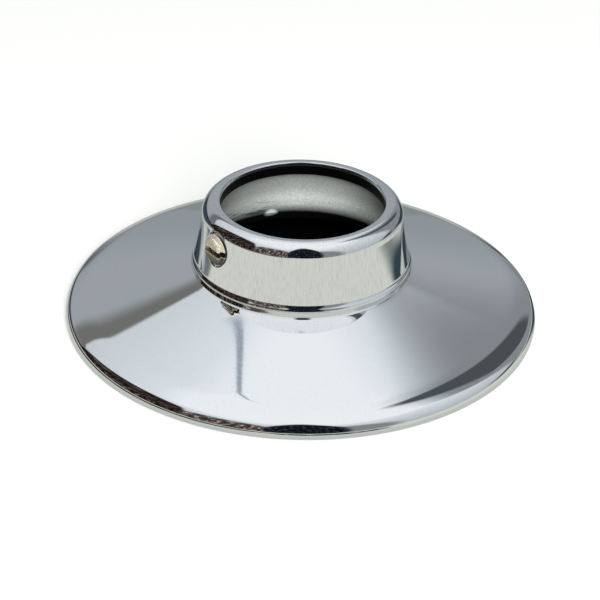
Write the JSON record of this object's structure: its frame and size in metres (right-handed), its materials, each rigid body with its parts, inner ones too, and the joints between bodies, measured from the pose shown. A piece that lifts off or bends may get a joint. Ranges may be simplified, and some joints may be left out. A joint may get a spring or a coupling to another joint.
{
  "type": "shower arm escutcheon",
  "caption": "Round chrome escutcheon with a coned flange, a flared collar with an inward lip for a half inch shower arm, and a slotted set screw in the collar.",
  "frame": {"origin": "centre of the rear face, where the rim stands on the room's wall", "axes": "+Z along the arm's axis, out of the wall through the collar; the set screw is on the -Y side of the collar"},
  "size_m": [0.0636, 0.0636, 0.0163],
  "materials": {
    "chrome_plate": "bright chrome plate over a thin zinc alloy casting, satin on the inside",
    "screw_steel": "nickel plated steel, dull yellowish"
  },
  "bodies": {
    "escutcheon": {"escutcheon_body": "chrome_plate"},
    "set_screw": {"set_screw": "screw_steel"}
  },
  "joints": [
    {"name": "set_screw_drive", "type": "slide", "parent": "escutcheon", "child": "set_screw", "axis": [0, 1, 0], "range_m": [-0.0012, 0.0008]}
  ]
}
